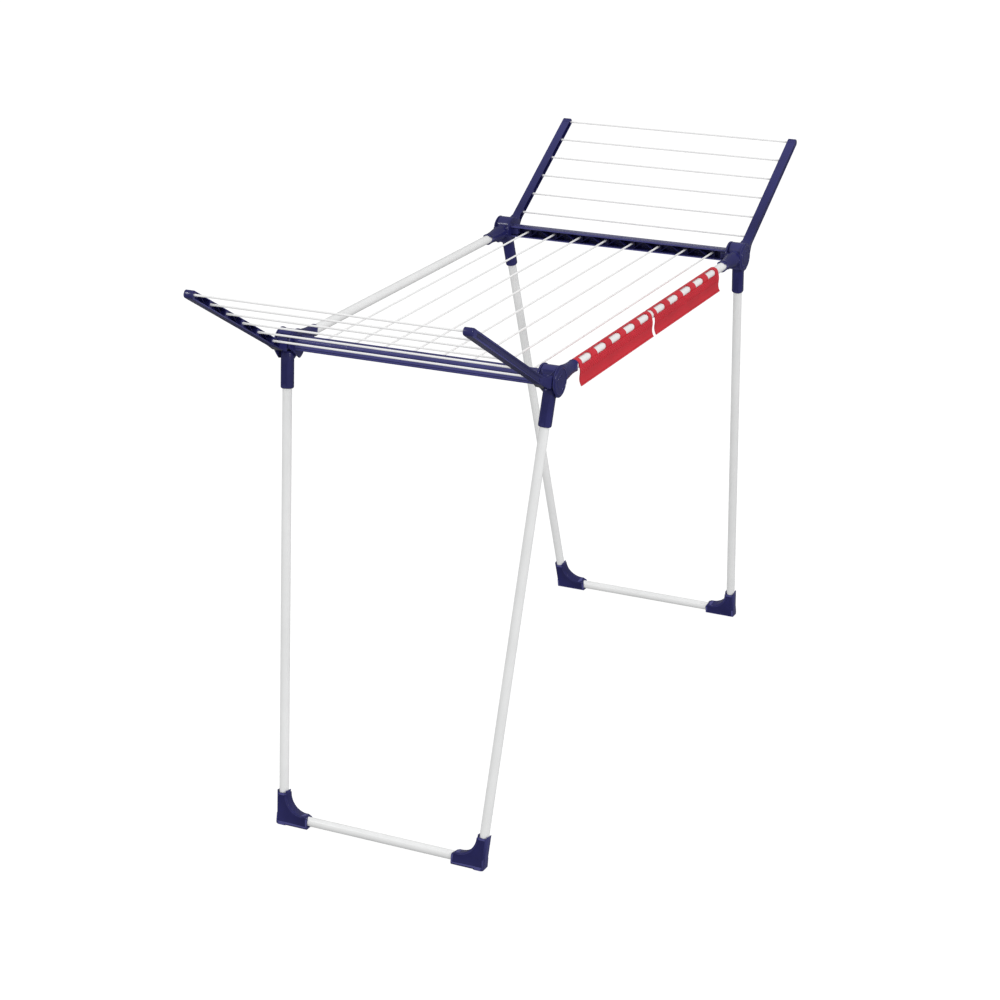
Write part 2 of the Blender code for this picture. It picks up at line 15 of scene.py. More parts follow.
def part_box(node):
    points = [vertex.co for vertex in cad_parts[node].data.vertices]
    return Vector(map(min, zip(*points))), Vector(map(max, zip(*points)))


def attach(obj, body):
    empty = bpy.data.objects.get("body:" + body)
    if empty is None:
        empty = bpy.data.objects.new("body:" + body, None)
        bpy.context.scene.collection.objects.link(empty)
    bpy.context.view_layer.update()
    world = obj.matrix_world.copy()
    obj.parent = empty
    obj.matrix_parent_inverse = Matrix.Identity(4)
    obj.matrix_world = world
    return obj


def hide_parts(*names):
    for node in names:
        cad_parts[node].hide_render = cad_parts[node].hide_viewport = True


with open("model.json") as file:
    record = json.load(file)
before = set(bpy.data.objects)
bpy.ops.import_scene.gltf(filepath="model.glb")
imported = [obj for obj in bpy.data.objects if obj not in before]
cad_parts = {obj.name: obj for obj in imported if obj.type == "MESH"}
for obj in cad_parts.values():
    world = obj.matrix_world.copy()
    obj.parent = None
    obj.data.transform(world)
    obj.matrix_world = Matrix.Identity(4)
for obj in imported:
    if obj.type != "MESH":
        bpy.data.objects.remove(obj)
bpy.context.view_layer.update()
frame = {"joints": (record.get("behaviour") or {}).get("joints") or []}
JOINTS = {joint["name"]: joint for joint in frame["joints"]}


def span(node, axis):
    """Lowest and highest coordinate of a CAD node along one axis."""
    low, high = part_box(node)
    return low[axis], high[axis]


# Places read from the frame
WING_PIN = Vector(JOINTS["far_wing_fold"]["pos_m"])
LEG_PIN = Vector(JOINTS["far_legs_fold"]["pos_m"])
HOLDER_AXES = {end: Vector(JOINTS[end + "_holder_swivel"]["pos_m"]) for end in ("near", "far")}
TUBE_RADIUS = (span("left_side_tube", 2)[1] - span("left_side_tube", 2)[0]) / 2
SIDE_TUBE_END = span("left_side_tube", 0)[1]
SIDE_Y = sum(span("left_side_tube", 1)) / 2
HUB_RADIUS = 0.033          # of the corner's round cheeks, which reach the node's outer and lower faces
HUB_X = span("far_left_corner", 0)[1] - HUB_RADIUS
HUB_Z = span("far_left_corner", 2)[0] + HUB_RADIUS
LINE_RADIUS = (span("centre_line_1", 2)[1] - span("centre_line_1", 2)[0]) / 2
LINE_Z = sum(span("centre_line_1", 2)) / 2
CENTRE_LINE_END = span("centre_line_1", 0)[1]
CENTRE_LINES = 8
CENTRE_LINE_PLACES = [sum(span("centre_line_" + str(i + 1), 1)) / 2 for i in range(CENTRE_LINES)]
WING_LINE_END = span("far_wing_line_1", 1)[1]
BAR_LOW, BAR_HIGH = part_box("far_end_bar")
CROSS = Vector([sum(span("far_cross_tube", axis)) / 2 for axis in range(3)])
CROSS_END = span("far_cross_tube", 1)[1]
HOLDER_LENGTH = span("near_holder", 0)[1] - span("near_holder", 0)[0]

# Angles at rest
WING_RISE = radians(31.0)
LEG_SPLAY = radians(11.4)

# Wing arm, in the wing frame: x along the arm from the wing pin
WING_LINE_FIRST = 0.0748
WING_LINE_PITCH = 0.0659
WING_LINES = 6
ARM_DROP = 0.0242
ARM_WIDTH = 0.020
ARM_HEIGHT = 0.017
ARM_START = 0.0205
ARM_TIP_MARGIN = 0.0077
ARM_TIP = WING_LINE_FIRST + (WING_LINES - 1) * WING_LINE_PITCH + ARM_TIP_MARGIN
ARM_LOW = -ARM_DROP - ARM_HEIGHT / 2
ARM_HIGH = -ARM_DROP + ARM_HEIGHT / 2

# Fits and finishing
CLEAR = 0.0003              # between touching pieces
OVER = 0.002                # how far a cutter runs past the surface it opens
MOULD_EDGE = 0.0011         # soft edge of a moulding
SMOOTH_ANGLE = radians(33.0)
END_TURNS = {"far": 0.0, "near": pi}
Y_AXIS = Matrix.Rotation(-pi / 2, 4, "X")
X_AXIS = Matrix.Rotation(pi / 2, 4, "Y")
LAY_X = Matrix(((0, 0, 1, 0), (1, 0, 0, 0), (0, 1, 0, 0), (0, 0, 0, 1)))    # outline in YZ, depth along X


# ---------------------------------------------------------------- mesh tools

def loose(bm, matrix=Matrix()):
    """Turn a bmesh into a building object."""
    bm.transform(matrix)
    bmesh.ops.recalc_face_normals(bm, faces=bm.faces)
    mesh = bpy.data.meshes.new("loose")
    bm.to_mesh(mesh)
    bm.free()
    thing = bpy.data.objects.new("loose", mesh)
    bpy.context.scene.collection.objects.link(thing)
    return thing


def drop(thing):
    """Remove a building object that is no longer needed."""
    bpy.data.objects.remove(thing, do_unlink=True)


def bake(thing):
    """Replace an object's mesh with its evaluated mesh."""
    graph = bpy.context.evaluated_depsgraph_get()
    result = bpy.data.meshes.new_from_object(thing.evaluated_get(graph))
    thing.modifiers.clear()
    thing.data = result
    return thing


def soften(thing, width=MOULD_EDGE, segments=3, angle=38.0):
    """Round the edges that are sharper than an angle in degrees."""
    bevel = thing.modifiers.new("Soften", "BEVEL")
    bevel.width = width
    bevel.segments = segments
    bevel.limit_method = "ANGLE"
    bevel.angle_limit = radians(angle)
    return bake(thing)


def join_shapes(base, tools, operation):
    """Apply one Boolean operation for each tool, which is used up."""
    for tool in tools:
        modifier = base.modifiers.new("Boolean", "BOOLEAN")
        modifier.operation = operation
        modifier.solver = "EXACT"
        modifier.object = tool
        bake(base)
        drop(tool)
    return base


def add(base, *tools):
    """Union with each tool."""
    return join_shapes(base, tools, "UNION")


def cut(base, *tools):
    """Take each tool away."""
    return join_shapes(base, tools, "DIFFERENCE")


def arc(centre, radius, start, end, steps):
    """Points on a circle from the start angle to the end angle, both included."""
    return [(centre[0] + radius * cos(start + (end - start) * i / steps),
             centre[1] + radius * sin(start + (end - start) * i / steps))
            for i in range(steps + 1)]


def circle(radius, segments=64):
    """Corners of a regular polygon about the origin."""
    return arc((0.0, 0.0), radius, 0.0, 2 * pi * (segments - 1) / segments, segments - 1)


def rounded_rectangle(width, depth, radius, steps=6):
    """Outline about the origin with a quarter circle at each corner."""
    points = []
    for quarter, (sx, sy) in enumerate(((1, 1), (-1, 1), (-1, -1), (1, -1))):
        centre = (sx * (width / 2 - radius), sy * (depth / 2 - radius))
        points += arc(centre, radius, quarter * pi / 2, (quarter + 1) * pi / 2, steps)
    return points


def skin(bm, rings):
    """Closed skin over a stack of rings of 3-D points, capped at both ends."""
    loops = [[bm.verts.new(point) for point in ring] for ring in rings]
    bm.faces.new(loops[0][::-1])
    bm.faces.new(loops[-1])
    for lower, upper in zip(loops, loops[1:]):
        for i in range(len(lower)):
            j = (i + 1) % len(lower)
            bm.faces.new((lower[i], lower[j], upper[j], upper[i]))


def loft(rings, matrix=Matrix()):
    """Solid through rings of 3-D points."""
    bm = bmesh.new()
    skin(bm, rings)
    return loose(bm, matrix)


def prism(outline, low, high, matrix=Matrix()):
    """Solid with an XY outline, from z low to z high."""
    return loft([[(x, y, z) for x, y in outline] for z in (low, high)], matrix)


def box(low, high):
    """Block between two corners."""
    outline = [(low[0], low[1]), (high[0], low[1]), (high[0], high[1]), (low[0], high[1])]
    return prism(outline, low[2], high[2])


def rod(radius, low, high, matrix=Matrix(), segments=64):
    """Round bar along local Z, from low to high."""
    return prism(circle(radius, segments), low, high, matrix)


def turned(profile, matrix=Matrix(), segments=64):
    """Solid of revolution about local Z through (radius, z) points."""
    return loft([[(x, y, z) for x, y in circle(radius, segments)] for radius, z in profile], matrix)


def side_prism(outline, low, high):
    """Solid with an XZ outline, from y low to y high."""
    return prism([(x, -z) for x, z in outline], low, high, Y_AXIS)


def along_y(x, z):
    """Matrix that lays local Z along Y through a point in the XZ plane."""
    return Matrix.Translation((x, 0.0, z)) @ Y_AXIS


def smooth_step(t):
    """Ease from 0 to 1 with level ends."""
    return t * t * (3 - 2 * t)


def bumps(places, radius, height, matrix=Matrix()):
    """Small domes on the XY plane, each a closed body sunk half its height."""
    bm = bmesh.new()
    sides = 8
    rings = ((1.0, -0.5), (1.0, 0.0), (0.8, 0.6), (0.4, 0.92))      # shares of radius and height
    for x, y in places:
        skin(bm, [[(x + dx, y + dy, height * level) for dx, dy in circle(radius * share, sides)]
                  for share, level in rings])
    return loose(bm, matrix)


def merge(base, *others):
    """Put other objects' meshes into base as they are."""
    bm = bmesh.new()
    bm.from_mesh(base.data)
    for other in others:
        bm.from_mesh(other.data)
        drop(other)
    bm.to_mesh(base.data)
    bm.free()
    return base


# ---------------------------------------------------------------- materials

CLOUD_SCALE = 14.0          # noise waves per metre
SMEAR_SCALE = 55.0
GRAIN_STRENGTH = 0.35
COAT_ROUGHNESS = 0.12


def value_range(nodes, links, source, low, high):
    """Map a 0 to 1 value to low..high."""
    node = nodes.new("ShaderNodeMapRange")
    node.inputs["To Min"].default_value = low
    node.inputs["To Max"].default_value = high
    links.new(source, node.inputs["Value"])
    return node.outputs["Result"]


def noise(nodes, links, coordinates, scale, detail):
    """Cloudy 0 to 1 value, with scale in waves per metre."""
    texture = nodes.new("ShaderNodeTexNoise")
    texture.inputs["Scale"].default_value = scale
    texture.inputs["Detail"].default_value = detail
    links.new(coordinates, texture.inputs["Vector"])
    return texture.outputs["Fac"]


def cloudy_colour(nodes, links, coordinates, dark, light):
    """Base colour that drifts between two close shades over a few centimetres."""
    ramp = nodes.new("ShaderNodeValToRGB")
    for element, position, shade in zip(ramp.color_ramp.elements, (0.32, 0.68), (dark, light)):
        element.position = position
        element.color = (*shade, 1.0)
    links.new(noise(nodes, links, coordinates, CLOUD_SCALE, 4.0), ramp.inputs["Fac"])
    return ramp.outputs["Color"]


def painted_edge_highlight(nodes, links, colour, edge):
    """Painted highlight: blend a paler colour in where the surface is sharply convex."""
    geometry = nodes.new("ShaderNodeNewGeometry")
    edge_highlight_share = nodes.new("ShaderNodeMapRange")
    edge_highlight_share.inputs["From Min"].default_value = 0.52
    edge_highlight_share.inputs["From Max"].default_value = 0.64
    edge_highlight_share.inputs["To Max"].default_value = 0.55
    links.new(geometry.outputs["Pointiness"], edge_highlight_share.inputs["Value"])
    mix = nodes.new("ShaderNodeMix")
    mix.data_type = "RGBA"
    mix.inputs["B"].default_value = (*edge, 1.0)
    links.new(edge_highlight_share.outputs["Result"], mix.inputs["Factor"])
    links.new(colour, mix.inputs["A"])
    return mix.outputs["Result"]


def surface(name, dark, light, roughness, grain_scale, grain_depth, edge=None, coat=0.0, specular=0.5):
    """Principled surface with cloudy colour, uneven gloss, fine grain and, if asked, a painted highlight on
    convex edges.
    """
    material = bpy.data.materials.new(name)
    material.use_nodes = True
    nodes = material.node_tree.nodes
    links = material.node_tree.links
    shader = nodes["Principled BSDF"]
    shader.inputs["Coat Weight"].default_value = coat
    shader.inputs["Coat Roughness"].default_value = COAT_ROUGHNESS
    shader.inputs["Specular IOR Level"].default_value = specular
    coordinates = nodes.new("ShaderNodeTexCoord").outputs["Object"]
    colour = cloudy_colour(nodes, links, coordinates, dark, light)
    # edge is the colour of the painted highlight on sharply convex edges
    if edge is not None:
        colour = painted_edge_highlight(nodes, links, colour, edge)
    links.new(colour, shader.inputs["Base Color"])
    smear = noise(nodes, links, coordinates, SMEAR_SCALE, 5.0)
    links.new(value_range(nodes, links, smear, roughness[0], roughness[1]), shader.inputs["Roughness"])
    grain = noise(nodes, links, coordinates, grain_scale, 2.0)
    bump = nodes.new("ShaderNodeBump")
    bump.inputs["Strength"].default_value = GRAIN_STRENGTH
    bump.inputs["Distance"].default_value = grain_depth
    links.new(grain, bump.inputs["Height"])
    links.new(bump.outputs["Normal"], shader.inputs["Normal"])
    return material


def navy_plastic():
    """Glossy dark blue moulding with a painted highlight on its edges."""
    # edge: colour of the painted highlight on ridges and bevels
    return surface("navy_plastic", dark=(0.013, 0.013, 0.082), light=(0.020, 0.020, 0.122),
                   roughness=(0.22, 0.30), grain_scale=900.0, grain_depth=0.00004,
                   edge=(0.12, 0.12, 0.36), coat=0.35, specular=0.35)


def powder_coat():
    """Fine white powder coat on steel tube."""
    return surface("powder_coat", dark=(0.84, 0.845, 0.845), light=(0.885, 0.89, 0.89),
                   roughness=(0.28, 0.38), grain_scale=650.0, grain_depth=0.00010, coat=0.2)


def cord_coating():
    """Duller white plastic drawn over the drying lines."""
    return surface("cord_coating", dark=(0.90, 0.90, 0.90), light=(0.94, 0.94, 0.94),
                   roughness=(0.42, 0.55), grain_scale=1400.0, grain_depth=0.00008)


def red_plastic():
    """Satin red moulding with a painted highlight on its edges."""
    # edge: colour of the painted highlight on window rims and beads
    return surface("red_plastic", dark=(0.46, 0.002, 0.005), light=(0.57, 0.003, 0.010),
                   roughness=(0.32, 0.44), grain_scale=800.0, grain_depth=0.00010,
                   edge=(0.80, 0.12, 0.17), specular=0.14)


MATERIALS = {"navy_plastic": navy_plastic(), "tube_white": powder_coat(), "line_white": cord_coating(),
             "red_plastic": red_plastic()}


# ---------------------------------------------------------------- placing pieces

def place(source, name, matrix, slot, body, *replaced, mirror=False):
    """Copy a finished building object into the rack as one piece of a body."""
    bm = bmesh.new()
    bm.from_mesh(source.data)
    if mirror:
        bm.transform(Matrix.Diagonal((1.0, -1.0, 1.0, 1.0)))
        bmesh.ops.reverse_faces(bm, faces=bm.faces)
    bm.transform(matrix)
    mesh = bpy.data.meshes.new(name)
    bm.to_mesh(mesh)
    bm.free()
    mesh.materials.clear()
    mesh.materials.append(MATERIALS[slot])
    mesh.shade_smooth()
    mesh.set_sharp_from_angle(angle=SMOOTH_ANGLE)
    thing = bpy.data.objects.new(name, mesh)
    bpy.context.scene.collection.objects.link(thing)
    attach(thing, body)
    if replaced:
        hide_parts(*replaced)
    return thing


def side_label(end, side):
    """Name of the rack's side: the near end is turned half round, so its sides swap."""
    return "left" if (side > 0) == (end == "far") else "right"


def end_matrix(end):
    """From the far end's frame to the rack's."""
    return Matrix.Rotation(END_TURNS[end], 4, "Z")


def wing_matrix(end):
    """From a wing's frame, level about its pin, to the rack's at rest."""
    return end_matrix(end) @ Matrix.Translation(WING_PIN) @ Matrix.Rotation(-WING_RISE, 4, "Y")


def legs_matrix(end):
    """From a leg frame, upright about its pin, to the rack's at rest."""
    return end_matrix(end) @ Matrix.Translation(LEG_PIN) @ Matrix.Rotation(-LEG_SPLAY, 4, "Y")


def place_pairs(source, kind, matrix_of, slot, body):
    """One copy of a left-hand far moulding at each of the four corners."""
    for end in END_TURNS:
        for side in (1, -1):
            node = end + "_" + side_label(end, side) + "_" + kind
            place(source, node + "_detail", matrix_of(end), slot, body(end), node, mirror=side < 0)
    drop(source)


# ---------------------------------------------------------------- corner housing

CHEEK_GAP = 0.033
CHEEK_WALL = 0.0045
SOCKET_REACH = 0.106
SOCKET_ROOT = TUBE_RADIUS + 0.0078
SOCKET_MOUTH = TUBE_RADIUS + 0.0028
PIN_RADIUS = 0.0035
SOCKET_FLOOR = 0.0262       # from the hub's centre to the bottom of the side tube's bore
CHEEK_SIDES = 96


def outer_cheek():
    """Disc with a domed, stepped rim and a shallow ring groove on its face."""
    inside = CHEEK_GAP / 2
    face = inside + CHEEK_WALL
    step, groove = face - 0.0002, face - 0.0009
    profile = [(HUB_RADIUS - 0.0008, inside), (HUB_RADIUS, inside + 0.0008), (HUB_RADIUS, inside + 0.0019)]
    profile += [(HUB_RADIUS - 0.0058 * sin(a), face - 0.0026 * cos(a))
                for a in (pi / 2 * k / 6 for k in range(1, 7))]
    profile += [(HUB_RADIUS - 0.0070, face), (HUB_RADIUS - 0.0078, groove),
                (HUB_RADIUS - 0.0170, groove), (HUB_RADIUS - 0.0178, step), (0.004, step)]
    return turned(profile, Y_AXIS, CHEEK_SIDES)


def inner_cheek():
    """Plain disc with a rounded outer edge."""
    inside = -CHEEK_GAP / 2
    face = inside - CHEEK_WALL
    edge = 0.0014
    profile = [(HUB_RADIUS - edge, face)]
    profile += [(HUB_RADIUS - edge + edge * sin(a), face + edge - edge * cos(a))
                for a in (pi / 2 * k / 4 for k in range(1, 5))]
    profile += [(HUB_RADIUS, inside - 0.0006), (HUB_RADIUS - 0.0006, inside)]
    return turned(profile, Y_AXIS, CHEEK_SIDES)


def tube_socket():
    """Solid that narrows smoothly from the hub to a straight collar with a beaded mouth."""
    start, end = -0.0235, -SOCKET_REACH
    taper_start = -0.030
    collar, steps = 0.016, 12
    profile = [(SOCKET_ROOT, start)]
    for k in range(steps + 1):
        t = k / steps
        profile.append((SOCKET_ROOT + (SOCKET_MOUTH - SOCKET_ROOT) * smooth_step(t),
                        taper_start + (end + collar - taper_start) * t))
    profile += [(SOCKET_MOUTH, end + 0.0030), (SOCKET_MOUTH + 0.0005, end + 0.0022),
                (SOCKET_MOUTH + 0.0005, end + 0.0006), (SOCKET_MOUTH, end)]
    return turned(profile, X_AXIS, 72)


def corner_housing():
    """Two cheeks and a bridge about the hub's centre, a socket for the tube and a spigot for the bar."""
    housing = outer_cheek()
    half = CHEEK_GAP / 2
    through = 0.030
    bridge = [(-0.0232, -0.022), (-0.0232, 0.0130)]
    bridge += arc((0, 0), HUB_RADIUS - 0.0004, pi - 0.41, pi + 0.73, 14)
    wall = side_prism(bridge, -half - 0.0015, half + 0.0015)
    spigot = box((-0.0123, -half - CHEEK_WALL - 0.017, -0.0058), (0.0096, -half - 0.001, 0.0098))
    below = [(0.0350, 0.0040), (-0.0120, -0.0350), (0.0400, -0.0400), (0.0400, 0.0040)]
    inner = cut(inner_cheek(), side_prism(below, -through, through))
    add(housing, wall, inner, tube_socket(), soften(spigot, 0.0006, 2))
    cut(housing, rod(TUBE_RADIUS + CLEAR, -SOCKET_REACH - OVER, -SOCKET_FLOOR, X_AXIS, 48))
    scallop_outline = [(x * 1.3, y) for x, y in circle(0.0072, 40)]
    cut(housing, prism(scallop_outline, -through, through, along_y(-SOCKET_REACH - 0.001, 0)))
    chord = [(0.0350, 0.0), (0.0115, -0.0345), (0.0400, -0.0400), (0.0400, 0.0)]
    cut(housing, side_prism(chord, -through, through))
    for axis in (WING_PIN, LEG_PIN):
        at = along_y(axis[0] - HUB_X, axis[2] - HUB_Z)
        cut(housing, rod(PIN_RADIUS + CLEAR, -through, through, at, 32))
    return housing


def pin():
    """Plain pin about its own axis, flush with the cheeks, with a blind hole in its outer end."""
    inner = -CHEEK_GAP / 2 - CHEEK_WALL
    outer = -inner - 0.0002
    turn = 0.0004
    profile = [(PIN_RADIUS - turn, inner), (PIN_RADIUS, inner + turn), (PIN_RADIUS, outer - turn),
               (PIN_RADIUS - turn, outer), (0.0022, outer), (0.0020, outer - 0.0030)]
    return turned(profile, Y_AXIS, 40)


def build_corners():
    """Corner housings and the two hinge pins through each."""
    hub = Matrix.Translation((HUB_X, SIDE_Y, HUB_Z))
    housing = corner_housing()
    housing.data.transform(hub)
    place_pairs(housing, "corner", end_matrix, "navy_plastic", lambda end: "root")
    for kind, at in (("wing_pin", WING_PIN), ("leg_pin", LEG_PIN)):
        shaft = pin()
        shaft.data.transform(Matrix.Translation((at[0], SIDE_Y, at[2])))
        place_pairs(shaft, kind, end_matrix, "navy_plastic", lambda end: "root")


# ---------------------------------------------------------------- end bar

def bar_outline(out, up, edge):
    """Section of the bar with its two outer edges rounded."""
    outline = [(-out, -up)] + arc((out - edge, -up + edge), edge, -pi / 2, 0, 6)
    return outline + arc((out - edge, up - edge), edge, 0, pi / 2, 6) + [(-out, up)]


def end_bar():
    """Channel open towards the lines, with line bosses and slanting ribs between them."""
    half = (BAR_HIGH[1] - BAR_LOW[1]) / 2
    out = (BAR_HIGH[0] - BAR_LOW[0]) / 2
    up = (BAR_HIGH[2] - BAR_LOW[2]) / 2
    flange, web, boss_width, boss_depth = 0.0025, 0.003, 0.011, 0.0085
    line_floor = 0.0022
    bar = side_prism(bar_outline(out, up, 0.0032), -half, half)
    bead = side_prism([(-out, up - 0.0008), (-out + 0.0022, up - 0.0008), (-out + 0.0022, up + 0.0004),
                       (-out + 0.0016, up + 0.0008), (-out + 0.0004, up + 0.0008), (-out, up + 0.0004)],
                      -half, half)
    add(bar, bead)
    floor = out - web
    inside = up - flange
    reach = half + OVER
    cut(bar, box((-out - OVER, -reach, -inside), (floor - boss_depth, reach, inside)))
    edges = [-reach]
    for y in sorted(CENTRE_LINE_PLACES):
        edges += [y - boss_width / 2, y + boss_width / 2]
    edges.append(reach)
    for low, high in zip(edges[::2], edges[1::2]):
        cut(bar, box((floor - boss_depth - OVER, low, -inside), (floor, high, inside)))
    for y in CENTRE_LINE_PLACES:
        cut(bar, rod(LINE_RADIUS + CLEAR, floor - boss_depth - OVER, floor - line_floor,
                     Matrix.Translation((0, y, 0)) @ X_AXIS, 24))
    ribs = []
    rib_front = -out + 0.0042
    rib_half, sink = 0.0008, 0.0006
    for low, high in zip(edges[2:-2:2], edges[3:-2:2]):
        middle = (low + high) / 2
        for near, far in ((low - 0.001, middle + sink), (high + 0.001, middle - sink)):
            outline = [(near - rib_half, -inside - sink), (near + rib_half, -inside - sink),
                       (far + rib_half, inside + sink), (far - rib_half, inside + sink)]
            ribs.append(prism(outline, rib_front, floor + 0.001, LAY_X))
    add(bar, *ribs)
    groove_depth, groove_half = 0.0007, 0.0006
    for z in (-0.0062, 0.0062):
        cut(bar, box((out - groove_depth, -reach, z - groove_half), (out + OVER, reach, z + groove_half)))
    return bar


def build_end_bars():
    """The same bar at both ends."""
    middle = (BAR_LOW + BAR_HIGH) / 2
    bar = end_bar()
    bar.data.transform(Matrix.Translation((middle[0], 0, middle[2])))
    for end in END_TURNS:
        place(bar, end + "_end_bar_detail", end_matrix(end), "navy_plastic", "root", end + "_end_bar")
    drop(bar)


# ---------------------------------------------------------------- wing arm

NECK_HALF = 0.0156
BARREL_RADIUS = 0.022


def neck_lip():
    """Raised U-shaped bead down the barrel's front and across the top of the neck."""
    half_steps, half_width = 12, 0.0136
    radius, sides = 0.0012, 12
    on_barrel = 0.4
    points = []
    for k in range(-half_steps, half_steps + 1):
        inward = 1 - abs(k) / half_steps
        if inward < on_barrel:
            angle = radians(15.5 - 26.2 * inward / on_barrel)
            x, z = BARREL_RADIUS * cos(angle), BARREL_RADIUS * sin(angle)
        else:
            x = 0.0216 + 0.0067 * sin(pi / 2 * (inward - on_barrel) / (1 - on_barrel))
            z = -0.0035 - 0.35 * (x - 0.020)
        points.append(Vector((x, SIDE_Y + half_width * k / half_steps, z)))
    rings = []
    for before, point, after in zip(points[:1] + points, points, points[1:] + points[-1:]):
        along = (after - before).normalized()
        across = along.cross(Vector((1, 0, 0.4))).normalized()
        out = along.cross(across)
        rings.append([point + radius * (cos(a) * across + sin(a) * out)
                      for a in (2 * pi * j / sides for j in range(sides))])
    return loft(rings)


def arm_neck():
    """Gooseneck from the barrel down to the arm, with a U-shaped lip across its top."""
    outline = [(0.0, -0.006)] + arc((0.0, 0.0), 0.0212, -pi * 0.62, -pi * 0.30, 8)
    outline += [(0.0215, ARM_LOW + 0.0012), (0.030, ARM_LOW - 0.0002), (0.060, ARM_LOW - 0.0002),
                (0.074, -ARM_DROP), (0.052, ARM_HIGH + 0.0004), (0.042, ARM_HIGH + 0.0012),
                (0.034, ARM_HIGH + 0.0042), (0.028, ARM_HIGH + 0.0094), (0.020, -0.0035), (0.012, -0.003)]
    neck = side_prism(outline, SIDE_Y - NECK_HALF, SIDE_Y + NECK_HALF)
    arm_half = ARM_WIDTH / 2 + 0.0002
    neck_half = NECK_HALF - 0.0001
    plan = [(-0.010, neck_half), (0.027, neck_half), (0.056, arm_half), (0.080, arm_half)]
    plan += [(x, -y) for x, y in plan[::-1]]
    taper = prism(plan, -0.060, 0.030, Matrix.Translation((0, SIDE_Y, 0)))
    join_shapes(neck, [taper], "INTERSECT")
    return add(soften(neck, MOULD_EDGE, 3, 50.0), neck_lip())


def arm_barrel():
    """Round knuckle between the corner's cheeks."""
    half = CHEEK_GAP / 2 - 0.0005
    edge = 0.0012
    profile = [(BARREL_RADIUS - edge, -half), (BARREL_RADIUS, -half + edge),
               (BARREL_RADIUS, half - edge), (BARREL_RADIUS - edge, half)]
    return turned(profile, Matrix.Translation((0, SIDE_Y, 0)) @ Y_AXIS, 96)


def wing_arm():
    """Arm in the wing frame for the left side: open channel towards the lines."""
    low, high = ARM_LOW, ARM_HIGH
    inner = SIDE_Y - ARM_WIDTH / 2
    outer = SIDE_Y + ARM_WIDTH / 2
    nose = 0.0075
    outline = [(ARM_START, low)] + arc((ARM_TIP - nose, low + nose), nose, -pi / 2, 0, 8)
    outline += arc((ARM_TIP - nose, high - nose), nose, 0, pi / 2, 8) + [(ARM_START, high)]
    arm = soften(side_prism(outline, inner, outer), 0.0016, 4, 50.0)
    web, flange, boss_width, boss_depth = 0.0045, 0.0022, 0.011, 0.0145
    band_low, band_high = low + 0.0036, high - 0.0048
    band = box((0.052, outer - 0.0008, band_low), (ARM_TIP - 0.022, outer + OVER, band_high))
    cut(arm, soften(band, 0.0006, 2))
    groove_width, groove_depth = 0.0011, 0.0006
    for start in (ARM_TIP - 0.0165, ARM_TIP - 0.0125):
        ring = box((start, inner - OVER, low - OVER), (start + groove_width, outer + OVER, high + OVER))
        core = box((start - OVER, inner + groove_depth, low + groove_depth),
                   (start + 0.004, outer - groove_depth, high - groove_depth))
        cut(arm, cut(ring, core))
    add(arm, arm_neck(), arm_barrel())
    places = [WING_LINE_FIRST + i * WING_LINE_PITCH for i in range(WING_LINES)]
    starts = [0.048] + [x + boss_width / 2 for x in places[:-1]]
    mouth = inner - 0.026
    rib_half, sink = 0.0009, 0.0005
    for start, x in zip(starts, places):
        end = x - boss_width / 2
        cut(arm, soften(box((start, mouth, low + flange), (end, outer - web, high - flange)), 0.0006, 2))
        if start > WING_LINE_FIRST:
            bottom, top = low + flange - sink, high - flange + sink
            middle = (start + end) / 2
            for base in (start, end):
                rib = [(base - rib_half, bottom), (base + rib_half, bottom), (middle + rib_half, top),
                       (middle - rib_half, top)]
                add(arm, side_prism(rib, inner + 0.0060, outer - web + 0.001))
    for x in places:
        cut(arm, rod(LINE_RADIUS + CLEAR, mouth, inner + boss_depth + CLEAR, along_y(x, -ARM_DROP), 24))
    cut(arm, rod(PIN_RADIUS + CLEAR, SIDE_Y - 0.03, SIDE_Y + 0.03, Y_AXIS, 32))
    return arm


def build_arms():
    """Four arms, two to each wing."""
    place_pairs(wing_arm(), "wing_arm", wing_matrix, "navy_plastic", lambda end: end + "_wing")


# ---------------------------------------------------------------- leg socket and foot

LEG_OFFSET = 0.018
SLEEVE_LENGTH = 0.077
LEG_BORE_FLOOR = 0.0247     # from the leg pin down to the bottom of the sleeve's bore
FOOT_BORE_FLOOR = 0.0162    # from the cross tube's axis up to the bottom of the foot's bore
FOOT_Z = -hypot(CROSS[0] - LEG_PIN[0] - LEG_OFFSET * cos(LEG_SPLAY),
                LEG_PIN[2] + LEG_OFFSET * sin(LEG_SPLAY) - CROSS[2])
FOOT_Y = CROSS_END
LEG_TAPER = asin((SIDE_Y - FOOT_Y) / hypot(FOOT_Z, SIDE_Y - FOOT_Y))


